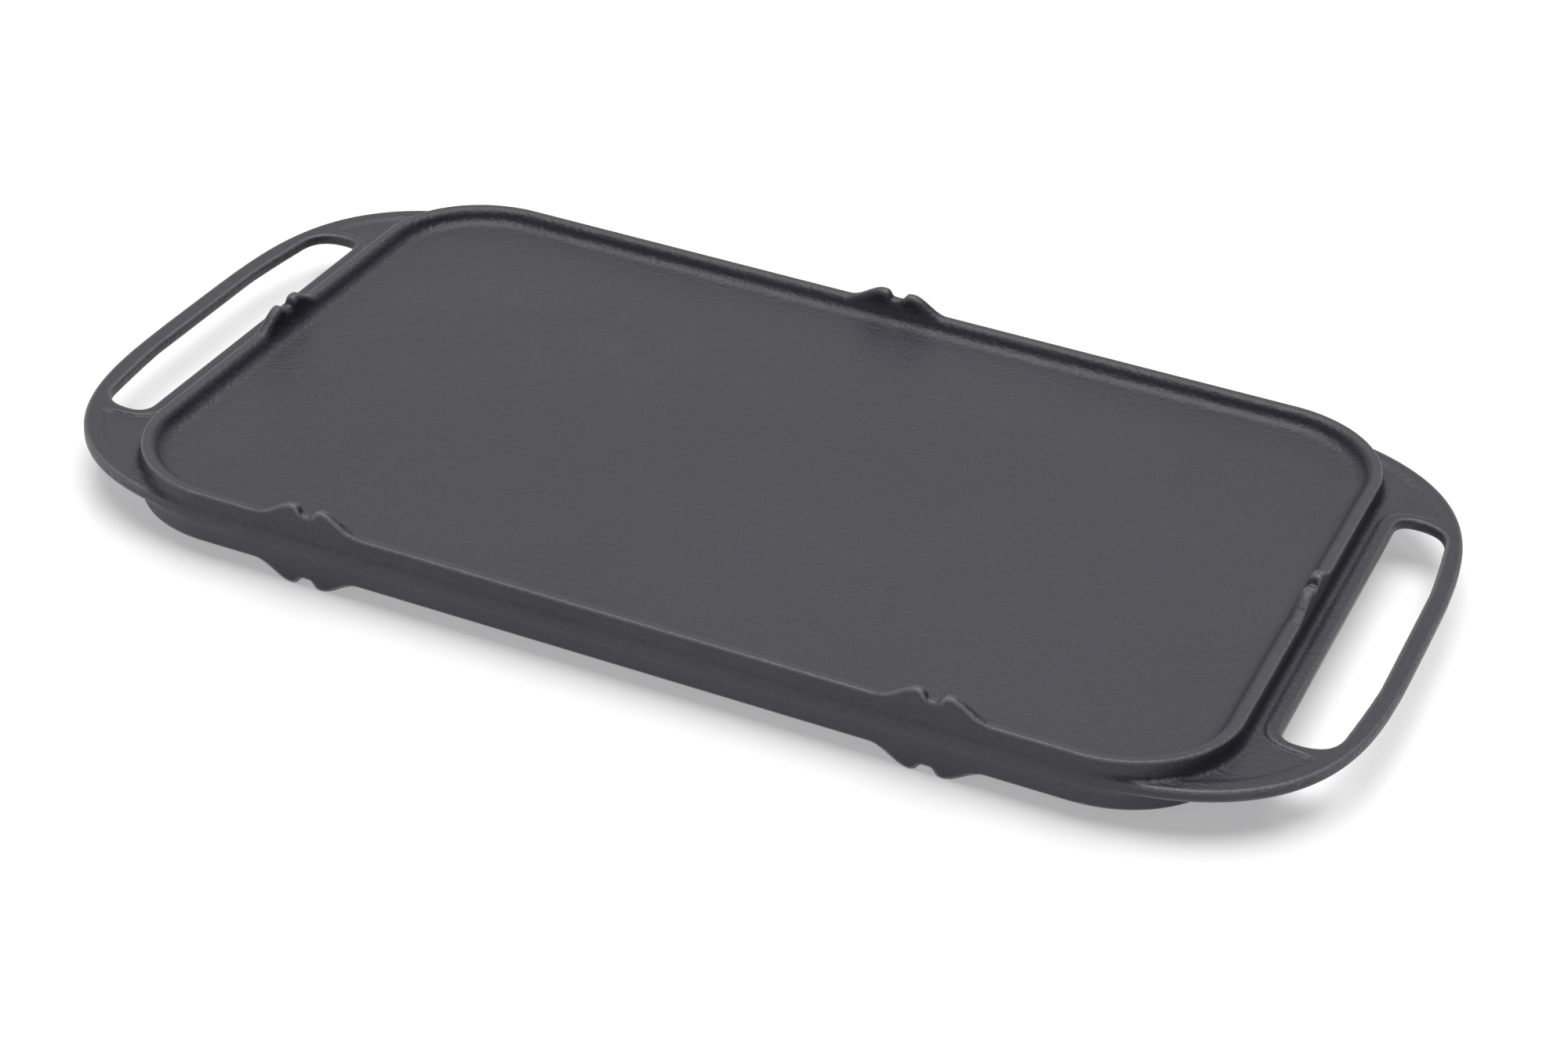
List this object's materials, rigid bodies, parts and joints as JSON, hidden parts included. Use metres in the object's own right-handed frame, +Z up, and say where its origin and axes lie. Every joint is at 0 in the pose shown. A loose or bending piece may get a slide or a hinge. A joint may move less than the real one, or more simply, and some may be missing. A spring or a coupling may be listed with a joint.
{
  "type": "cast iron hob griddle",
  "caption": "Long rectangular reversible cast-iron griddle plate with a raised rim, notched lugs on the rim and a loop handle at each end.",
  "frame": {"origin": "under the middle of the griddle, on the plane its five lower lugs stand on", "axes": "+X along the length towards the right handle, +Y to the back, +Z up out of the cooking surface"},
  "size_m": [0.5504, 0.2904, 0.0354],
  "materials": {
    "cast_iron_black": "matte seasoned black with a fine sand-cast grain"
  },
  "bodies": {
    "root": {"griddle_casting": "cast_iron_black"}
  },
  "joints": []
}
